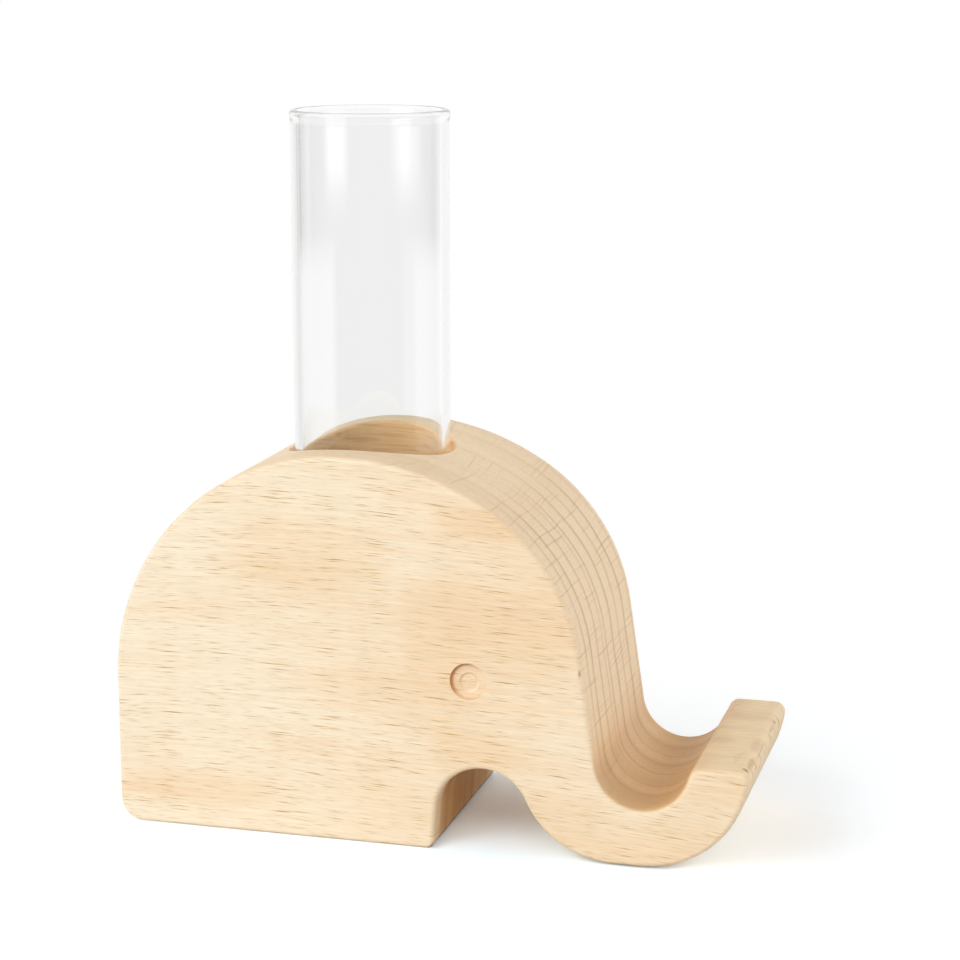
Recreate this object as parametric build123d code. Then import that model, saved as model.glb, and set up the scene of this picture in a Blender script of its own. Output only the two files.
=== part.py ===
from build123d import *

import os
from math import atan2, cos, degrees, radians, sin, sqrt, tan

# Test tube vase: a beech block in the outline of an elephant, with an upright hole in its
# back that holds a glass test tube. Millimetres.
# +Z is up, the trunk points along +X, and the block's two flat faces look along -Y and +Y.
# The origin lies on the surface the vase stands on, on the tube's axis.

# Glass test tube
tube_diameter = 30.0
tube_wall = 1.4
tube_length = 120.0
rim_swell = 0.2  # how far the fire-polished rim stands out from the tube
rim_ease = 1.6  # height over which the swollen rim runs down into the straight wall

# Wooden block
block_thickness = 46.0
block_height = 74.6
edge_round = 1.0  # the rounded-over edges of the two flat faces

# Hole for the tube
tube_clearance = 0.8  # gap round the tube, on the radius
wood_under_hole = 16.6
seat_gap = 0.2  # the tube's round bottom over the floor of the hole
hole_edge_round = 0.5

# Outline, from the back corner over the dome and round the trunk to the leg
dome_forward = 0.6  # the dome's middle stands this far in front of the tube's axis
rump_radius = 45.5
crown_radius = 53.0
crown_turn = 32.0  # degrees of the crown arc, from the top of the dome forwards
forehead_radius = 39.0
brow_lean = 8.5  # degrees from upright
hook_radius = 8.8  # inside the curl of the trunk
trunk_depth = 11.1  # wood under the hook
trunk_lift = 0.5  # the trunk stays this far off the floor, and the leg stands on it
lip_height = 3.0  # straight part of the trunk's inner side, up to its flat tip
lip_lean = 20.0  # degrees from upright
tip_lean = 11.0  # the trunk's outer side, degrees from upright
tip_round = 2.0
chin_radius = 18.2
chin_flat = 5.4
arch_height = 16.6
arch_radius = 9.0
leg_lean = 4.0  # degrees from upright
leg_corner_radius = 1.5
rump_corner_radius = 4.5

# Eye: a round recess with a shallow dished middle, on both flat faces
eye_forward = 25.4  # from the tube's axis
eye_height = 33.5
eye_diameter = 7.0
eye_depth = 0.8
pupil_diameter = 3.8
pupil_depth = 0.4
pupil_bevel = 0.4
pupil_drop = 0.3  # the dished middle sits a little low in the recess

# How far cutting shapes run past the surface that they cut
overrun = 5.0


def from_centre(centre, radius, angle):
    # The point of a circle at an angle in degrees, in the plane of the outline
    return (centre[0] + radius * cos(radians(angle)), centre[1] + radius * sin(radians(angle)))


def elephant_outline():
    # Every arc is placed by the one before it, so the whole outline follows any one size.
    rump_centre = (dome_forward, block_height - rump_radius)
    crown_centre = (dome_forward, block_height - crown_radius)
    brow_angle = 90 - crown_turn
    forehead_centre = from_centre(crown_centre, crown_radius - forehead_radius, brow_angle)
    brow_top = from_centre(forehead_centre, forehead_radius, brow_lean)

    # The trunk's inner and outer curl share one centre
    curl_radius = hook_radius + trunk_depth
    curl_z = trunk_lift + curl_radius
    brow_x = brow_top[0] + (brow_top[1] - curl_z) * tan(radians(brow_lean))
    curl_centre = (brow_x + hook_radius / cos(radians(brow_lean)), curl_z)
    lip_bottom = from_centre(curl_centre, hook_radius, -lip_lean)
    tip_z = lip_bottom[1] + lip_height
    tip_inner = (lip_bottom[0] + lip_height * tan(radians(lip_lean)), tip_z)
    curl_end = from_centre(curl_centre, curl_radius, -tip_lean)
    tip_outer = (curl_end[0] + (tip_z - curl_end[1]) * tan(radians(tip_lean)), tip_z)

    # The arch's arc touches the chin's arc, and the leg's inner side touches the arch
    chin_centre = (curl_centre[0] - chin_flat, trunk_lift + chin_radius)
    arch_z = arch_height - arch_radius
    arch_run = sqrt((arch_radius + chin_radius) ** 2 - (chin_centre[1] - arch_z) ** 2)
    arch_centre = (chin_centre[0] - arch_run, arch_z)
    chin_angle = degrees(atan2(chin_centre[1] - arch_centre[1], chin_centre[0] - arch_centre[0]))
    leg_top = from_centre(arch_centre, arch_radius, 180 - leg_lean)
    leg_corner = (leg_top[0] - leg_top[1] * tan(radians(leg_lean)), 0)
    rump_corner = (dome_forward - rump_radius, 0)

    rump = CenterArc(rump_centre, rump_radius, 180, -90)
    crown = CenterArc(crown_centre, crown_radius, 90, -crown_turn)
    forehead = CenterArc(forehead_centre, forehead_radius, brow_angle, brow_lean - brow_angle)
    hook = CenterArc(curl_centre, hook_radius, 180 + brow_lean, 180 - brow_lean - lip_lean)
    curl = CenterArc(curl_centre, curl_radius, -tip_lean, tip_lean - 90)
    chin = CenterArc(chin_centre, chin_radius, -90, chin_angle - 90)
    arch = CenterArc(arch_centre, arch_radius, chin_angle, 180 - leg_lean - chin_angle)
    edges = [
        Line(rump_corner, rump @ 0),
        rump,
        crown,
        forehead,
        Line(forehead @ 1, hook @ 0),
        hook,
        Line(hook @ 1, tip_inner),
        Line(tip_inner, tip_outer),
        Line(tip_outer, curl @ 0),
        curl,
        Line(curl @ 1, chin @ 0),
        chin,
        arch,
        Line(arch @ 1, leg_corner),
        Line(leg_corner, rump_corner),
    ]
    face = make_face(edges)
    corners = (
        (rump_corner, rump_corner_radius),
        (tip_inner, tip_round),
        (tip_outer, tip_round),
        (leg_corner, leg_corner_radius),
    )
    for point, radius in corners:
        corner = face.vertices().sort_by_distance((*point, 0))[0]
        face = fillet(corner, radius)
    return face


def make_elephant_body():
    block = extrude(Plane.XZ * elephant_outline(), block_thickness / 2, both=True)
    flats = block.faces().filter_by(Axis.Y)
    block = fillet(flats.sort_by(Axis.Y)[0].edges() + flats.sort_by(Axis.Y)[-1].edges(), edge_round)

    # The hole runs up through the dome
    hole_radius = tube_diameter / 2 + tube_clearance
    hole_length = block_height - wood_under_hole + overrun
    grounded = (Align.CENTER, Align.CENTER, Align.MIN)
    drill = Pos(0, 0, wood_under_hole) * Cylinder(hole_radius, hole_length, align=grounded)
    body = block - drill
    cut_edges = new_edges(block, drill, combined=body).filter_by(GeomType.LINE, reverse=True)
    rim = cut_edges.filter_by(lambda edge: edge.center().Z > wood_under_hole + edge_round)
    body = fillet(rim, hole_edge_round)

    for side in (-1, 1):
        # The cutters are built looking into the wood, from the flat face inwards
        eye_centre = Vector(eye_forward, side * block_thickness / 2, eye_height)
        into_wood = Plane(eye_centre, x_dir=(1, 0, 0), z_dir=(0, -side, 0))
        socket = Pos(0, 0, eye_depth) * Cylinder(
            eye_diameter / 2, eye_depth + overrun, align=(Align.CENTER, Align.CENTER, Align.MAX)
        )
        pupil_base = Plane(eye_centre - Vector(0, 0, pupil_drop), x_dir=(1, 0, 0), z_dir=into_wood.z_dir)
        pupil = Pos(0, 0, eye_depth) * Cone(
            pupil_diameter / 2, pupil_diameter / 2 - pupil_bevel, pupil_depth, align=grounded
        )
        body -= into_wood * socket + pupil_base * pupil
    return body


def make_test_tube():
    # Half a section in the XZ plane, turned round the tube's axis
    outer = tube_diameter / 2
    inner = outer - tube_wall
    bottom = wood_under_hole + seat_gap
    top = bottom + tube_length
    round_centre = (0, bottom + outer)
    lip_radius = (tube_wall + rim_swell) / 2
    lip_centre = (inner + lip_radius, top - lip_radius)
    outside_bottom = CenterArc(round_centre, outer, -90, 90)
    inside_bottom = CenterArc(round_centre, inner, 0, -90)
    lip = CenterArc(lip_centre, lip_radius, 0, 180)
    ease_bottom = (outer, lip_centre[1] - rim_ease)
    ease = Bezier(
        ease_bottom,
        (outer, lip_centre[1] - rim_ease / 2),
        (outer + rim_swell, lip_centre[1] - rim_ease / 2),
        lip @ 0,
    )
    section = make_face(
        [
            outside_bottom,
            Line(outside_bottom @ 1, ease_bottom),
            ease,
            lip,
            Line(lip @ 1, inside_bottom @ 0),
            inside_bottom,
            Line(inside_bottom @ 1, outside_bottom @ 0),
        ]
    )
    return revolve(Plane.XZ * section, Axis.Z)


def save(name, shape):
    shape.label = name
    export_step(shape, f"parts/{name}.step")
    box = shape.bounding_box()
    print(f"{name}: {box.size.X:.1f} x {box.size.Y:.1f} x {box.size.Z:.1f} mm, {shape.volume / 1000:.1f} cm3")


os.makedirs("parts", exist_ok=True)
save("elephant_body", make_elephant_body())
save("test_tube", make_test_tube())
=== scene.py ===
import math

import bmesh
import bpy
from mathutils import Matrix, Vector


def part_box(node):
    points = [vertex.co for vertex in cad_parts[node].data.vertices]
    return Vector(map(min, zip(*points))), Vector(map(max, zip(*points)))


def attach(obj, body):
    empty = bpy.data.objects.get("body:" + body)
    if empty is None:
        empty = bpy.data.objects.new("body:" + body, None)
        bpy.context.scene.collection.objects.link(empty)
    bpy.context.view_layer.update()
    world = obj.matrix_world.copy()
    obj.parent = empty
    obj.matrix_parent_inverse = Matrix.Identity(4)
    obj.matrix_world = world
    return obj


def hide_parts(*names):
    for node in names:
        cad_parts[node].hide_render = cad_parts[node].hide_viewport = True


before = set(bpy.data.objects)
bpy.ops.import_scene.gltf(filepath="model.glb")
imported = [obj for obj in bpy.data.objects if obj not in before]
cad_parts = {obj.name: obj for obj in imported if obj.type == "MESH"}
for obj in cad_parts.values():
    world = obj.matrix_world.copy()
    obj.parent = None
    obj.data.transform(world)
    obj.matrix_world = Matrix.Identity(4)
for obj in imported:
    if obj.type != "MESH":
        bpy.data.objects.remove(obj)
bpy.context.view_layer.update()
print("frame loaded:", sorted(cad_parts))


# Shader helpers

class Field:
    # wraps an output socket, so that sums on it read as plain Python
    def __init__(self, graph, socket):
        self.graph = graph
        self.socket = socket

    def __add__(self, other):
        return self.graph.maths("ADD", self, other)

    def __radd__(self, other):
        return self.graph.maths("ADD", other, self)

    def __sub__(self, other):
        return self.graph.maths("SUBTRACT", self, other)

    def __rsub__(self, other):
        return self.graph.maths("SUBTRACT", other, self)

    def __mul__(self, other):
        return self.graph.maths("MULTIPLY", self, other)

    def __rmul__(self, other):
        return self.graph.maths("MULTIPLY", other, self)

    def __truediv__(self, other):
        return self.graph.maths("DIVIDE", self, other)


class Graph:
    def __init__(self, tree):
        self.tree = tree
        tree.nodes.clear()

    def node(self, kind, settings=None, inputs=None, output=0):
        # settings first, then the values or links of the sockets, by name or number
        made = self.tree.nodes.new(kind)
        for name, value in (settings or {}).items():
            if name == "stops":
                self.setStops(made.color_ramp.elements, value)
            else:
                setattr(made, name, value)
        for name, value in (inputs or {}).items():
            if isinstance(value, Field):
                self.tree.links.new(value.socket, made.inputs[name])
            else:
                made.inputs[name].default_value = value
        return Field(self, made.outputs[output]) if len(made.outputs) else made

    def setStops(self, elements, stops):
        # a ramp starts with two black stops, at 0 and 1; each further stop is a position and a grey level
        elements[0].color = elements[1].color = (0.0, 0.0, 0.0, 1.0)
        for position, level in stops:
            elements.new(position).color = (level, level, level, 1.0)

    def maths(self, operation, first, second=0.0):
        return self.node("ShaderNodeMath", {"operation": operation}, {0: first, 1: second})

    def ramp(self, value, low, high):
        # 0 below low and 1 above high, with soft ends
        settings = {"interpolation_type": "SMOOTHSTEP"}
        return self.node("ShaderNodeMapRange", settings, {0: value, 1: low, 2: high, 3: 0.0, 4: 1.0})

    def split(self, vector):
        parts = self.node("ShaderNodeSeparateXYZ", None, {0: vector})
        return [Field(self, output) for output in parts.socket.node.outputs]

    def reach(self, first, second):
        return self.maths("SQRT", first * first + second * second)

    def spread(self, vector, size):
        # a place in millimetres divided by a pattern's size along x, y and z
        settings = {"operation": "DIVIDE"}
        return self.node("ShaderNodeVectorMath", settings, {0: vector, 1: size})

    def noise(self, vector, size, detail=2.0, roughness=0.5):
        inputs = {"Vector": self.spread(vector, size), "Scale": 1.0, "Detail": detail, "Roughness": roughness}
        return self.node("ShaderNodeTexNoise", None, inputs)

    def blend(self, factor, first, second, way="MIX"):
        # colours are inputs 6 and 7 of a Mix node, and its colour result is output 2
        settings = {"data_type": "RGBA", "blend_type": way}
        return self.node("ShaderNodeMix", settings, {0: factor, 6: first, 7: second}, 2)


def newMaterial(name):
    material = bpy.data.materials.new(name)
    material.use_nodes = True
    return material, Graph(material.node_tree)


def linear(red, green, blue):
    # a colour read as 0 to 255, as the renderer's linear values
    def channel(value):
        value = value / 255
        return value / 12.92 if value <= 0.04045 else ((value + 0.055) / 1.055) ** 2.4

    return (channel(red), channel(green), channel(blue), 1.0)


# Beech, with its fibres along the block and its growth rings standing parallel to the two flat faces

beech = {
    "cream": linear(249, 233, 206),
    "straw": linear(245, 217, 180),
    "blush": linear(244, 218, 185),
    "toast": linear(231, 193, 141),
    "endGrain": linear(245, 219, 182),
    "cutWoodAndShade": linear(228, 185, 128),  # sawn hollows look browner and are striped by the rings, and their brown is also painted shade
    "cutRingAndShade": linear(200, 151, 94),
    # the bore's wall, paler and warmer than the wood as painted light in the dim bore, over the drilled
    # streaks
    "drilledWoodAndBounce": linear(255, 208, 150),
    "drilledGrain": linear(232, 170, 106),
    # painted shade for the eye's recess
    "eyeShadeColour": linear(205, 128, 46),
    # painted highlight for the eye's dish
    "polished": linear(255, 246, 228),
    "marked": linear(172, 112, 56),
    "tipWood": linear(253, 225, 181),
    "ringLine": linear(178, 128, 48),
    "ringBand": linear(226, 188, 138),
    "fleck": linear(192, 146, 40),
    "footShadowColour": linear(92, 60, 38),
    "archShadeTint": (1.0, 0.93, 0.82, 1.0),

    # where a surface counts as turned along x, along z, and out of the flat faces' plane
    "endTurn": (0.3, 0.9),
    "topTurn": (0.3, 0.8),
    "faceTurn": (0.5, 0.97),

    # noise patterns: size along x, y and the fibres' level, then detail and roughness
    "patterns": {
        "sway": ((60.0, 36.0, 24.0), 1.0),
        "shiver": ((9.0, 9.0, 3.0), 1.0),
        "drift": ((44.0, 40.0, 30.0), 1.0),
        "ripple": ((14.0, 8.0, 7.0), 1.0),
        "ringShare": ((16.0, 5.0, 9.0), 1.0),
        "rayShare": ((30.0, 12.0, 3.0), 1.0),
        "hairlines": ((2.4, 24.0, 0.36), 1.0),
        "streaks": ((34.0, 3.0, 0.6), 3.0, 0.6),
        "fibres": ((7.0, 0.6, 0.3), 2.0, 0.6),
        "bands": ((90.0, 9.0, 11.0), 2.0),
        "clouds": ((26.0, 16.0, 9.0), 2.0),
        "pores": ((1.4, 0.2, 0.2), 1.0),
    },
    # the fibres' fall per millimetre, the bend that turns them down towards the head, and how far they wander
    "fibreSlope": 0.016,
    "fibreBend": 0.0004,
    "swayBy": 3.0,
    "shiverBy": 0.35,

    # growth rings, by millimetres from the middle of the thickness and by strength
    "rings": (
        (-21.6, 0.45), (-18.0, 0.8), (-14.1, 1.0), (-8.7, 0.9), (-4.1, 0.7), (-1.7, 0.9),
        (3.7, 1.0), (9.1, 0.8), (14.5, 1.0), (20.4, 0.7),
    ),
    "ringRise": 1.5,  # millimetres over which a ring darkens, and then ends
    "ringFall": 0.7,
    "ringSpan": 24.0,
    "driftBy": 2.4,  # millimetres by which the rings wander
    "rippleBy": 0.9,
    "ringFade": (60.0, 70.0),  # heights over which the rings' lines grow faint towards the top
    "ringFadeBy": 0.7,
    # how warm the wood between the rings is, by the same millimetres
    "ringBands": (
        (-21.0, 0.5), (-17.0, 0.75), (-14.5, 0.9), (-12.0, 0.1), (-7.0, 0.55), (-3.0, 0.2),
        (1.0, 0.35), (3.4, 0.7), (6.0, 0.05), (11.0, 0.5), (14.0, 0.85), (17.0, 0.25), (21.0, 0.7),
    ),

    # rays: size along x, y and the fibres' level, how much of its cell each fills, and strength
    "rays": (
        ((11.0, 40.0, 0.33), 0.42, 1.0),
        ((8.0, 30.0, 0.25), 0.48, 0.7),
        ((5.5, 22.0, 0.2), 0.58, 0.42),
    ),
    "rayLength": (0.7, 0.3),  # what chance adds to a ray's length, and the shortest
    "rayStrength": (0.5, 0.5),
    "rayTaper": 0.55,
    "uneven": (0.55, 0.9),  # the faintest that a ring or ray gets, and what a pattern adds
    "hairlineCut": (0.6, 0.72),  # between these levels of its pattern a hairline comes up

    # warmth: along x and what it adds, each pattern's part, and the steps between the colours
    "warmAlong": (-50.0, 70.0, 0.28),
    "warmBands": 0.5,
    "warmClouds": 0.35,
    "warmStreaks": 0.7,
    "strawWarmth": (-0.1, 0.55),
    "toastWarmth": (0.35, 1.1),
    "blushClouds": (0.5, 0.8),
    # warmer patches on the photographed face: place along x and z, reach along x and z, strength
    "patches": (
        (-7.0, 55.5, 18.0, 8.0, 0.34),
        (20.0, 39.0, 8.0, 18.0, 0.20),
        (30.0, 63.5, 11.0, 3.0, 0.42),
        (-30.0, 7.5, 20.0, 3.6, 0.32),
        (35.5, 48.0, 15.0, 13.0, 0.20),
        (52.0, 20.0, 14.0, 14.0, -0.16),
        (26.0, 20.0, 9.0, 6.0, 0.16),
        (5.0, 30.0, 12.0, 7.0, 0.14),
    ),
    "patchEdge": 1.6,

    # how much of each look lies over the wood below it
    "toastShare": 0.8,
    "blushShare": 0.5,
    "endGrainShare": 0.8,
    "bandShare": (0.3, 0.2),  # on the curved sides, and how much less where they are end grain
    "lineShare": (0.3, 0.3),  # on the curved sides, and how much more where they are end grain
    "fleckLoss": 0.72,  # how much of the flecks the curved sides lose
    "hairlineShare": 0.32,
    "cutBands": 0.8,
    "drilledStreaks": (0.46, 0.66),
    "drilledShare": 0.7,
    "highlightShare": 0.45,

    # hollows, where painted shade lies over the sawn wood's own browner tone: centre along x and z, radius,
    # and how brown they are
    "hook": (58.3, 20.4, 8.8, 0.9),
    "arch": (28.1, 7.6, 9.0, 0.92),
    "archShadeFade": (16.4, 20.6),  # millimetres from the middle between which the arch's brown, partly painted shade, runs out towards the lit front face
    "hookShadeFade": (10.0, 28.0),  # heights between which the hook's brown, partly painted shade, runs out, so that the valley is darkest at its bottom
    "hollowEdge": (0.4, 6.0),  # and how far past the radius both run out into the wood
    "hole": (15.8, 0.9),
    "holeEdge": (0.1, 0.5),
    # painted contact shadow under the arch's wall: heights, where it starts and ends along x, and how dark it
    # is
    "footShadow": ((0.5, 1.7), (17.0, 18.2), (22.0, 24.0), 0.75),
    # the trunk's flat end: where it begins along x and z, and how pale it is
    "tip": ((60.0, 63.0), (17.0, 19.5), 0.6),
    # brown marks: centre along x, y and z, reach along each, strength
    "marks": (
        (73.0, 11.0, 20.4, 7.0, 3.0, 2.0, 0.14),
        (70.0, -4.5, 20.4, 3.5, 3.0, 2.0, 0.16),
        (77.0, -6.0, 20.4, 1.6, 5.0, 1.5, 0.22),
        (77.2, -20.4, 20.3, 0.9, 0.8, 1.2, 0.8),
        (77.5, -16.0, 20.3, 0.8, 5.0, 1.2, 0.4),
        (77.7, 10.7, 20.2, 0.5, 1.3, 1.2, 0.6),
        (77.8, 6.5, 20.2, 0.5, 3.5, 1.2, 0.35),
        (46.7, -23.0, 36.7, 0.5, 0.5, 1.0, 0.75),
    ),

    # the eye: centre along x and z, and radius; the rest goes by shares of the radius
    "eye": (25.4, 33.5, 3.5),
    "eyeWall": (0.78, 0.95),
    "eyeRim": (1.02, 1.1),
    "facePlane": 23.0,
    "sunkBy": (0.12, 0.02),  # how far under the flat face the eye's painted shade and highlight are full, and where they start
    # painted shade in the eye's recess, aimed at the side that its wall shades
    "eyeShadeAim": (0.5, 0.87),  # up, and towards the rump
    "eyeShadeTurn": (-0.1, 0.85),
    "eyeShadeShare": (0.08, 0.62),  # all round, and more on the side it is aimed at
    "pupil": (25.4, 33.2, 1.9),
    # painted highlight on the lit lower-right wall of the pupil's dish
    "highlightRing": (0.95, 0.06, 0.16),  # its place, and half its width as it starts and ends to fade
    "highlightAim": (0.8, 0.6),  # towards the trunk, and down
    "highlightTurn": (0.2, 0.8),

    # fibres: contrast and middle; pores: levels of the pattern, and how much they darken end grain
    "fibreTone": (0.28, 0.14),
    "poreCut": (0.55, 0.75),
    "poreTone": 0.05,
    "toneShares": (0.9, 1.05, 1.5),  # how far red, green and blue follow the fibres' light and dark
    "relief": (0.5, 0.3, 0.4),  # how high fibres and streaks stand, and how deep pores go
    "bumpStrength": 0.3,
    "bumpDistance": 0.00005,
    "roughness": 0.5,
    "fibreRoughness": 0.1,
    "fleckGloss": 0.08,
    "specular": 0.35,
}


def makeBeech():
    material, graph = newMaterial("beech")

    def pattern(vector, name):
        return graph.noise(vector, *beech["patterns"][name])

    place = graph.node("ShaderNodeTexCoord", None, None, "Object")
    facing = graph.node("ShaderNodeTexCoord", None, None, "Normal")
    millimetres = graph.node("ShaderNodeVectorMath", {"operation": "SCALE"}, {0: place, "Scale": 1000.0})
    x, y, z = graph.split(millimetres)
    acrossX, acrossY, acrossZ = [graph.maths("ABSOLUTE", part) for part in graph.split(facing)]
    endOn = graph.ramp(acrossX, *beech["endTurn"])
    sideOn = 1.0 - graph.ramp(acrossY, *beech["faceTurn"])
    offMiddle = graph.maths("ABSOLUTE", y)

    # the fibres run along x, wander a little and turn down towards the head
    sway = pattern(millimetres, "sway") - 0.5
    shiver = pattern(millimetres, "shiver") - 0.5
    fall = x * beech["fibreSlope"] + x * x * beech["fibreBend"]
    level = z + fall + sway * beech["swayBy"] + shiver * beech["shiverBy"]
    grain = graph.node("ShaderNodeCombineXYZ", None, {0: x, 1: y, 2: level})

    # growth rings: each darkens slowly and ends sharply
    faintest, more = beech["uneven"]
    drift = pattern(grain, "drift") - 0.5
    ripple = pattern(grain, "ripple") - 0.5
    span = beech["ringSpan"]
    depth = (y + drift * beech["driftBy"] + ripple * beech["rippleBy"]) / (2.0 * span) + 0.5
    stops = []
    for middle, strength in beech["rings"]:
        for offset, amount in ((-beech["ringRise"], 0.0), (0.0, strength), (beech["ringFall"], 0.0)):
            stops.append(((middle + offset + span) / (2.0 * span), amount))
    rings = graph.node("ShaderNodeValToRGB", {"stops": stops}, {0: depth})
    rings = rings * rings * (faintest + pattern(grain, "ringShare") * more)
    stops = [((middle + span) / (2.0 * span), warmth) for middle, warmth in beech["ringBands"]]
    ringBands = graph.node("ShaderNodeValToRGB", {"stops": stops}, {0: depth})

    # rays: ribbons along x and y, tapered dashes on the faces and hairlines across the rings
    flecks = 0.0
    settings = {"feature": "F1", "distance": "MANHATTAN"}
    longer, shortest = beech["rayLength"]
    stronger, weakest = beech["rayStrength"]
    for size, reach, strength in beech["rays"]:
        inputs = {"Vector": graph.spread(grain, size), "Scale": 1.0}
        cells = graph.node("ShaderNodeTexVoronoi", settings, inputs)
        chance = graph.node("ShaderNodeSeparateColor", None, {0: Field(graph, cells.socket.node.outputs[1])})
        taper = 1.0 - cells / ((chance * longer + shortest) * reach)
        dashes = graph.ramp(taper, 0.0, beech["rayTaper"]) * (chance * stronger + weakest)
        flecks = graph.maths("MAXIMUM", flecks, dashes * strength)
    flecks = flecks * (faintest + pattern(grain, "rayShare") * more)
    hairlines = graph.ramp(pattern(grain, "hairlines"), *beech["hairlineCut"])

    streaks = pattern(grain, "streaks")
    fibres = pattern(grain, "fibres")
    bands = pattern(grain, "bands")
    clouds = pattern(grain, "clouds")
    pores = pattern(millimetres, "pores")

    # the photographed face is warmer in some places, and towards the head
    start, end, strength = beech["warmAlong"]
    warmth = graph.ramp(x, start, end) * strength
    for alongX, alongZ, reachX, reachZ, strength in beech["patches"]:
        gapX = (x - alongX) / reachX
        gapZ = (z - alongZ) / reachZ
        warmth = warmth + (1.0 - graph.ramp(gapX * gapX + gapZ * gapZ, 0.0, beech["patchEdge"])) * strength
    warmth = warmth + (bands - 0.5) * beech["warmBands"]
    warmth = warmth + (clouds - 0.5) * beech["warmClouds"]
    warmth = warmth + (streaks - 0.5) * beech["warmStreaks"]

    # the hollows, coloured partly with painted light: a paler, warmer bore, and shade in the hook and the
    # arch
    # the bore: the drilled wood's tone and streaks, paler and warmer as painted light
    hole, holeBrown = beech["hole"]
    start, end = beech["holeEdge"]
    boreWoodAndBounce = (1.0 - graph.ramp(graph.reach(x, y), hole + start, hole + end)) * holeBrown
    hollows = 0.0
    fade = {
        "hook": 1.0 - graph.ramp(z, *beech["hookShadeFade"]),
        "arch": 1.0 - graph.ramp(offMiddle, *beech["archShadeFade"]),
    }
    start, end = beech["hollowEdge"]
    for part in ("hook", "arch"):
        middleX, middleZ, radius, brown = beech[part]
        inside = 1.0 - graph.ramp(graph.reach(x - middleX, z - middleZ), radius + start, radius + end)
        inside = inside * sideOn * fade[part]
        hollows = graph.maths("MAXIMUM", hollows, inside * brown)

    # painted shade on the eye's wall, darkest on its upper-left side where the wall shades it, and a painted
    # highlight on the lit arc round its dished middle
    middleX, middleZ, radius = beech["eye"]
    besideX, besideZ = (x - middleX) / radius, (z - middleZ) / radius
    distance = graph.reach(besideX, besideZ)
    start, end = [beech["facePlane"] - deep for deep in beech["sunkBy"]]
    sunk = 1.0 - graph.ramp(offMiddle, start, end)
    wall = graph.ramp(distance, *beech["eyeWall"]) * sunk * (1.0 - graph.ramp(distance, *beech["eyeRim"]))
    up, back = beech["eyeShadeAim"]
    upperLeft = graph.ramp(besideZ * up - besideX * back, *beech["eyeShadeTurn"])
    everywhere, aimed = beech["eyeShadeShare"]
    paintedEyeShade = wall * (everywhere + upperLeft * aimed)
    middleX, middleZ, radius = beech["pupil"]
    besideX, besideZ = (x - middleX) / radius, (z - middleZ) / radius
    ring, start, end = beech["highlightRing"]
    offRing = graph.maths("ABSOLUTE", graph.reach(besideX, besideZ) - ring)
    forwards, down = beech["highlightAim"]
    lowerRight = graph.ramp(besideX * forwards - besideZ * down, *beech["highlightTurn"])
    polish = (1.0 - graph.ramp(offRing, start, end)) * lowerRight * sunk

    # the wood's colours, then the rings and rays on it
    colour = graph.blend(graph.ramp(warmth, *beech["strawWarmth"]), beech["cream"], beech["straw"])
    toasted = graph.ramp(warmth, *beech["toastWarmth"]) * beech["toastShare"]
    colour = graph.blend(toasted, colour, beech["toast"])
    blushed = graph.ramp(clouds, *beech["blushClouds"]) * beech["blushShare"]
    colour = graph.blend(blushed, colour, beech["blush"])
    colour = graph.blend(sideOn * beech["endGrainShare"], colour, beech["endGrain"])
    onSides, lessOnEnds = beech["bandShare"]
    colour = graph.blend(ringBands * sideOn * (onSides - endOn * lessOnEnds), colour, beech["ringBand"])
    onSides, moreOnEnds = beech["lineShare"]
    towardsTop = graph.ramp(z, *beech["ringFade"]) * beech["ringFadeBy"]
    lines = (sideOn * onSides + endOn * moreOnEnds) * (1.0 - towardsTop)
    colour = graph.blend(rings * lines, colour, beech["ringLine"])
    startX, startZ, pale = beech["tip"]
    tip = graph.ramp(x, *startX) * graph.ramp(z, *startZ) * graph.ramp(acrossZ, *beech["topTurn"])
    colour = graph.blend(tip * pale, colour, beech["tipWood"])
    colour = graph.blend(flecks * (1.0 - sideOn * beech["fleckLoss"]), colour, beech["fleck"])
    colour = graph.blend(hairlines * endOn * beech["hairlineShare"], colour, beech["ringLine"])

    # over these the hollows with their painted shade and light, the marks, and the eye's painted shade and
    # highlight
    striped = graph.maths("MAXIMUM", rings, ringBands * beech["cutBands"])
    cut = graph.blend(striped, beech["cutWoodAndShade"], beech["cutRingAndShade"])
    colour = graph.blend(hollows, colour, cut)
    colour = graph.blend(inside, colour, beech["archShadeTint"], "MULTIPLY")  # painted shade, warmer and darker, in the arch; the arch comes last in the loop
    striped = graph.ramp(streaks, *beech["drilledStreaks"]) * beech["drilledShare"]
    cut = graph.blend(striped, beech["drilledWoodAndBounce"], beech["drilledGrain"])
    colour = graph.blend(boreWoodAndBounce, colour, cut)
    # painted contact shadow along the foot of the arch's wall
    heights, start, end, dark = beech["footShadow"]
    footShadow = (1.0 - graph.ramp(z, *heights)) * graph.ramp(x, *start) * (1.0 - graph.ramp(x, *end)) * sideOn
    colour = graph.blend(footShadow * dark, colour, beech["footShadowColour"])
    for markX, markY, markZ, reachX, reachY, reachZ, strength in beech["marks"]:
        gapX, gapY, gapZ = (x - markX) / reachX, (y - markY) / reachY, (z - markZ) / reachZ
        mark = 1.0 - graph.ramp(gapX * gapX + gapY * gapY + gapZ * gapZ, 0.0, 1.0)
        colour = graph.blend(mark * strength, colour, beech["marked"])
    # the eye's painted shade
    colour = graph.blend(paintedEyeShade, colour, beech["eyeShadeColour"])
    # the eye's painted highlight
    colour = graph.blend(polish * beech["highlightShare"], colour, beech["polished"])

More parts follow.
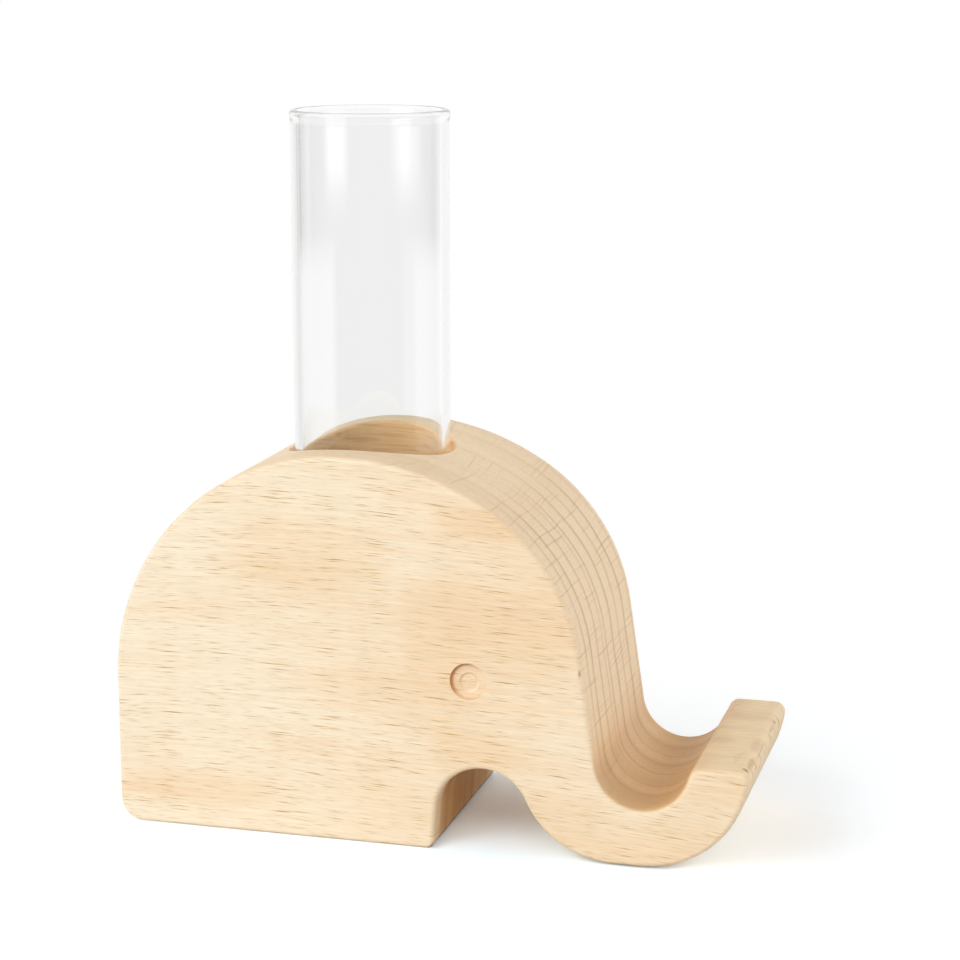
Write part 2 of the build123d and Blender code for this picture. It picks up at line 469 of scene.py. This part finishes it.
    # fibres and pores, which take more blue than red
    contrast, middle = beech["fibreTone"]
    shade = fibres * contrast - middle - graph.ramp(pores, *beech["poreCut"]) * endOn * beech["poreTone"]
    channels = [shade * share + 1.0 for share in beech["toneShares"]]
    tone = graph.node("ShaderNodeCombineColor", None, dict(enumerate(channels)))
    colour = graph.blend(1.0, colour, tone, "MULTIPLY")

    byFibres, byStreaks, byPores = beech["relief"]
    height = fibres * byFibres + streaks * byStreaks - pores * endOn * byPores
    inputs = {"Strength": beech["bumpStrength"], "Distance": beech["bumpDistance"], "Height": height}
    bump = graph.node("ShaderNodeBump", None, inputs)
    roughness = beech["roughness"] + fibres * beech["fibreRoughness"] - flecks * beech["fleckGloss"]
    inputs = {
        "Base Color": colour,
        "Roughness": roughness,
        "Normal": bump,
        "Specular IOR Level": beech["specular"],
    }
    surface = graph.node("ShaderNodeBsdfPrincipled", None, inputs)
    graph.node("ShaderNodeOutputMaterial", None, {"Surface": surface})
    return material


def dress(node, material):
    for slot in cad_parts[node].material_slots:
        slot.material = material


dress("elephant_body", makeBeech())
print("beech on the block")


# Test tube: one section spun round, with a round bottom and a rim that the flame has swollen

tube = {
    "wall": 1.4,
    "rimSwell": 0.2,
    "rimEase": 1.6,  # height over which the swollen rim runs down into the wall
    "turns": 160,  # faces round the tube
    "bottomSteps": 20,
    "lipSteps": 10,
    "easeSteps": 6,
    "endStep": 0.4,  # short faces at both ends of a wall keep its smooth shading upright
    "mergeDistance": 0.00001,  # metres
    "colour": (0.985, 0.99, 0.985, 1.0),
    "refraction": 1.47,
    "shadowColour": (0.99, 0.995, 0.99, 1.0),  # what one face of the wall lets through of a lamp
    "paintedRimGlow": (0.16, 0.142, 0.136, 1.0),  # painted glow of the glass, standing in for light of the wood that the wall guides up to its rim
    "rimGlowDepth": (2.4, 2.6),  # after this many reflections
}


def makeGlass():
    material, graph = newMaterial("clearGlass")
    path = graph.node("ShaderNodeLightPath", None, None, "Is Shadow Ray")
    reflections = Field(graph, path.socket.node.outputs["Glossy Depth"])
    # the glass glows faintly after reflections, as painted light at its rim
    paintedRimGlow = graph.blend(graph.ramp(reflections, *tube["rimGlowDepth"]), (0.0, 0.0, 0.0, 1.0), tube["paintedRimGlow"])
    body = graph.node(
        "ShaderNodeBsdfPrincipled",
        None,
        {
            "Base Color": tube["colour"],
            "Roughness": 0.0,
            "IOR": tube["refraction"],
            "Transmission Weight": 1.0,
            "Emission Color": paintedRimGlow,
            "Emission Strength": 1.0,
        },
    )
    clear = graph.node("ShaderNodeBsdfTransparent", None, {"Color": tube["shadowColour"]})
    surface = graph.node("ShaderNodeMixShader", None, {0: path, 1: body, 2: clear})
    graph.node("ShaderNodeOutputMaterial", None, {"Surface": surface})
    return material


def arcFrom(shape, start, centre, angle, steps):
    # turns a copy of the last point about a centre in the XZ plane, leaving edges behind it
    made = bmesh.ops.spin(
        shape, geom=[start], cent=centre, axis=(0.0, -1.0, 0.0), angle=angle, steps=steps, use_duplicate=False
    )
    return next(item for item in made["geom_last"] if isinstance(item, bmesh.types.BMVert))


def lineFrom(shape, start, offset):
    made = bmesh.ops.extrude_vert_indiv(shape, verts=[start])["verts"][0]
    made.co = start.co + Vector(offset)
    return made


def wallFrom(shape, start, run):
    short = math.copysign(tube["endStep"] / 1000, run)
    for length in (short, run - 2 * short, short):
        start = lineFrom(shape, start, (0.0, 0.0, length))
    return start


def makeTube():
    low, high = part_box("test_tube")
    wall = tube["wall"] / 1000
    swell = tube["rimSwell"] / 1000
    ease = tube["rimEase"] / 1000
    rim = high[0]
    outer = rim - swell
    inner = outer - wall
    lip = (rim - inner) / 2
    roundCentre = Vector((0.0, 0.0, low[2] + outer))
    lipHeight = high[2] - lip

    shape = bmesh.new()
    point = shape.verts.new((0.0, 0.0, low[2]))
    point = arcFrom(shape, point, roundCentre, math.pi / 2, tube["bottomSteps"])
    point = wallFrom(shape, point, lipHeight - ease - roundCentre.z)
    for step in range(tube["easeSteps"]):
        # the rim swells along half a wave
        before, after = step / tube["easeSteps"], (step + 1) / tube["easeSteps"]
        rise = swell * (math.cos(math.pi * before) - math.cos(math.pi * after)) / 2
        point = lineFrom(shape, point, (rise, 0.0, ease / tube["easeSteps"]))
    point = arcFrom(shape, point, (rim - lip, 0.0, lipHeight), math.pi, tube["lipSteps"])
    point = wallFrom(shape, point, roundCentre.z - lipHeight)
    arcFrom(shape, point, roundCentre, -math.pi / 2, tube["bottomSteps"])
    section = shape.verts[:] + shape.edges[:]
    bmesh.ops.spin(
        shape,
        geom=section,
        cent=(0.0, 0.0, 0.0),
        axis=(0.0, 0.0, 1.0),
        angle=2 * math.pi,
        steps=tube["turns"],
        use_merge=True,
    )
    bmesh.ops.remove_doubles(shape, verts=shape.verts[:], dist=tube["mergeDistance"])
    bmesh.ops.recalc_face_normals(shape, faces=shape.faces[:])
    mesh = bpy.data.meshes.new("glassTube")
    shape.to_mesh(mesh)
    shape.free()
    mesh.shade_smooth()
    mesh.materials.append(makeGlass())
    piece = bpy.data.objects.new("glassTube", mesh)
    bpy.context.scene.collection.objects.link(piece)
    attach(piece, "tube")
    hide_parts("test_tube")


makeTube()
print("tube spun")


# Studio: a white table, a softbox on each side of the camera, and a dark room behind the camera

studio = {
    "floorRadius": 14.0,
    "floorSides": 96,
    "floorColour": 0.8,
    "floorLift": (0.42, 0.47, 0.51),  # how much paler the camera sees the table near the vase
    "floorGlow": 0.08,  # and what the table adds there, up to white
    "archShadeLift": (-0.03, 0.11, 0.21),  # painted tint: what comes to the lift in the arch's shade, turning that shade a colder grey
    "archCentre": (0.03, -0.005, 0.0),
    "archReach": (0.03, 0.055),
    "nearCentre": (0.045, -0.02, 0.0),
    "nearReach": (0.05, 0.13),  # the table's shading ends between these distances from there
    "mirrorReach": (0.12, 0.26),  # and between these in what the glass mirrors
    "turnedDepth": (0.2, 0.8),  # reflections after which a ray counts as mirrored
    # the room's light on the vase, in front and elsewhere: sines of both elevations, and how bright
    "skyFront": ((0.4, 0.7, 2.8),),
    "skyRest": ((-1.0, 0.15, 3.77), (0.15, 0.4, 0.65), (0.4, 0.7, 1.15)),
    "skyEdge": 0.05,
    # dark parts of the room: bearing from +X and degrees to each side, and where the table turns dark in them
    "front": (-66.0, 61.0, (0.3, 0.4)),
    "sides": (-79.0, 127.0, (0.8, 1.1)),
    "darkEdge": 3.0,
    "darkLevel": 0.15,
    "darkTop": (0.1, 0.5),  # how high the dark reaches, as the sine of its elevation
    "sideTable": 0.8,  # the table at the sides, as reflections show it
    # the table behind the vase, which the tube's edges show: bearing, spread and how much darker
    "backLeft": (145.0, 14.0, 0.17),
    "backRight": (75.0, 14.0, 0.08),
    # painted sheen: glow on the table where the softboxes' reflections lie, seen only by what glass and gloss
    # mirror: bearing, spread and distances, and how bright it gets
    "keySheen": (-124.0, 14.0, (1.05, 1.65)),
    "fillSheen": (-13.0, 15.0, (1.05, 1.65)),
    "sheen": 1.15,
    "sheenEdge": 9.0,
    "boxSize": (0.74, 0.95),
    "boxAim": 0.04,  # the height they are turned to
    # bearing, distance, height and power in watts
    "boxes": {
        "key": (-126.0, 1.0, 0.56, 3.9),
        "fill": (-18.0, 1.0, 0.56, 0.6),
    },
}


def within(graph, direction, part, edge="darkEdge"):
    # 1 inside a part of the room that is given by its bearing and spread
    bearing = math.radians(studio[part][0])
    middle = (math.cos(bearing), math.sin(bearing), 0.0)
    flat = graph.node("ShaderNodeVectorMath", {"operation": "MULTIPLY"}, {0: direction, 1: (1.0, 1.0, 0.0)})
    flat = graph.node("ShaderNodeVectorMath", {"operation": "NORMALIZE"}, {0: flat})
    towards = graph.node("ShaderNodeVectorMath", {"operation": "DOT_PRODUCT"}, {0: flat, 1: middle}, "Value")
    outer = math.cos(math.radians(studio[part][1] + studio[edge]))
    inner = math.cos(math.radians(studio[part][1] - studio[edge]))
    return graph.ramp(towards, outer, inner)


def distanceFrom(graph, place, centre):
    settings = {"operation": "DISTANCE"}
    return graph.node("ShaderNodeVectorMath", settings, {0: place, 1: studio[centre]}, "Value")


def rayKinds(graph):
    # what the camera sees, also straight through the glass, and what glass and gloss mirror
    path = graph.node("ShaderNodeLightPath", None, None, "Is Camera Ray")
    outputs = path.socket.node.outputs
    glossy = Field(graph, outputs["Is Glossy Ray"])
    through = Field(graph, outputs["Is Transmission Ray"])
    turned = graph.ramp(Field(graph, outputs["Glossy Depth"]), *studio["turnedDepth"])
    return path + through * (1.0 - turned), graph.maths("MAXIMUM", glossy, through) * turned


def makeFloor():
    shape = bmesh.new()
    bmesh.ops.create_circle(shape, cap_ends=True, radius=studio["floorRadius"], segments=studio["floorSides"])
    mesh = bpy.data.meshes.new("floor")
    shape.to_mesh(mesh)
    shape.free()
    floor = bpy.data.objects.new("floor", mesh)
    bpy.context.scene.collection.objects.link(floor)

    material, graph = newMaterial("whiteTable")
    place = graph.node("ShaderNodeTexCoord", None, None, "Object")
    distance = graph.node("ShaderNodeVectorMath", {"operation": "LENGTH"}, {0: place}, "Value")
    seen, mirrored = rayKinds(graph)
    front = within(graph, place, "front") * graph.ramp(distance, *studio["front"][2])
    sides = within(graph, place, "sides")
    dark = graph.maths("MAXIMUM", front, sides * graph.ramp(distance, *studio["sides"][2]))
    level = (1.0 - sides * (1.0 - studio["sideTable"])) * (1.0 - dark) + dark * studio["darkLevel"]
    # painted reflections of the softboxes, glowing on the table for mirrored rays
    for part in ("keySheen", "fillSheen"):
        lit = within(graph, place, part, "sheenEdge") * graph.ramp(distance, *studio[part][2])
        level = level + lit * studio["sheen"]
    for part in ("backLeft", "backRight"):
        level = level - within(graph, place, part) * studio[part][2]
    # painted tint in the arch's shade on the table
    shaded = 1.0 - graph.ramp(distanceFrom(graph, place, "archCentre"), *studio["archReach"])
    lifts = zip(studio["floorLift"], studio["archShadeLift"])
    channels = [studio["floorColour"] + seen * (shaded * more + lift) for lift, more in lifts]
    white = graph.node("ShaderNodeCombineColor", None, dict(enumerate(channels)))
    paint = graph.node("ShaderNodeBsdfDiffuse", None, {"Color": white})
    glow = graph.node("ShaderNodeEmission", None, {"Strength": (seen + mirrored) * studio["floorGlow"]})
    near = graph.node("ShaderNodeAddShader", None, {0: paint, 1: glow})
    far = graph.node("ShaderNodeEmission", None, {"Strength": seen + mirrored * level})
    clean = graph.ramp(distanceFrom(graph, place, "nearCentre"), *studio["nearReach"]) * seen
    clean = clean + graph.ramp(distance, *studio["mirrorReach"]) * mirrored
    surface = graph.node("ShaderNodeMixShader", None, {0: clean, 1: near, 2: far})
    graph.node("ShaderNodeOutputMaterial", None, {"Surface": surface})
    mesh.materials.append(material)


def makeWorld():
    world = bpy.data.worlds.new("studio")
    world.use_nodes = True
    graph = Graph(world.node_tree)
    direction = graph.node("ShaderNodeTexCoord", None, None, "Generated")
    height = graph.split(direction)[2]
    seen, mirrored = rayKinds(graph)
    low = 1.0 - graph.ramp(height, *studio["darkTop"])
    reflected = 1.0 - within(graph, direction, "sides") * low * (1.0 - studio["darkLevel"])
    edge = studio["skyEdge"]
    inFront = within(graph, direction, "front")
    ambient = 0.0
    for part, share in (("skyFront", inFront), ("skyRest", 1.0 - inFront)):
        for bottom, top, level in studio[part]:
            band = graph.ramp(height, bottom - edge, bottom + edge)
            band = band * (1.0 - graph.ramp(height, top - edge, top + edge))
            ambient = ambient + band * share * level
    strength = seen + mirrored * reflected + (1.0 - seen - mirrored) * ambient
    light = graph.node("ShaderNodeBackground", None, {"Color": (1.0, 1.0, 1.0, 1.0), "Strength": strength})
    graph.node("ShaderNodeOutputWorld", None, {"Surface": light})
    bpy.context.scene.world = world


def makeSoftbox(name, bearing, distance, height, power):
    lamp = bpy.data.lights.new(name, "AREA")
    lamp.shape = "RECTANGLE"
    lamp.size, lamp.size_y = studio["boxSize"]
    lamp.energy = power
    box = bpy.data.objects.new(name, lamp)
    bearing = math.radians(bearing)
    box.location = (math.cos(bearing) * distance, math.sin(bearing) * distance, height)
    inwards = Vector((0.0, 0.0, studio["boxAim"])) - box.location
    box.rotation_euler = inwards.to_track_quat("-Z", "Y").to_euler()
    box.visible_camera = False
    bpy.context.scene.collection.objects.link(box)


makeFloor()
makeWorld()
for name, settings in studio["boxes"].items():
    makeSoftbox(name, *settings)
print("studio lit")


# Camera, where the photograph was taken from

view = {
    "place": (0.1422, -0.4407, 0.1642),
    "pitch": 77.96,
    "turn": 15.32,
    "lens": 91.48,
    "sensor": 36.0,
    "farthest": 100.0,
}


def makeCamera():
    data = bpy.data.cameras.new("camera")
    data.sensor_width = view["sensor"]
    data.lens = view["lens"]
    data.clip_end = view["farthest"]
    camera = bpy.data.objects.new("camera", data)
    camera.location = view["place"]
    camera.rotation_euler = (math.radians(view["pitch"]), 0.0, math.radians(view["turn"]))
    bpy.context.scene.collection.objects.link(camera)
    bpy.context.scene.camera = camera


makeCamera()
bpy.context.scene.view_settings.view_transform = "Standard"
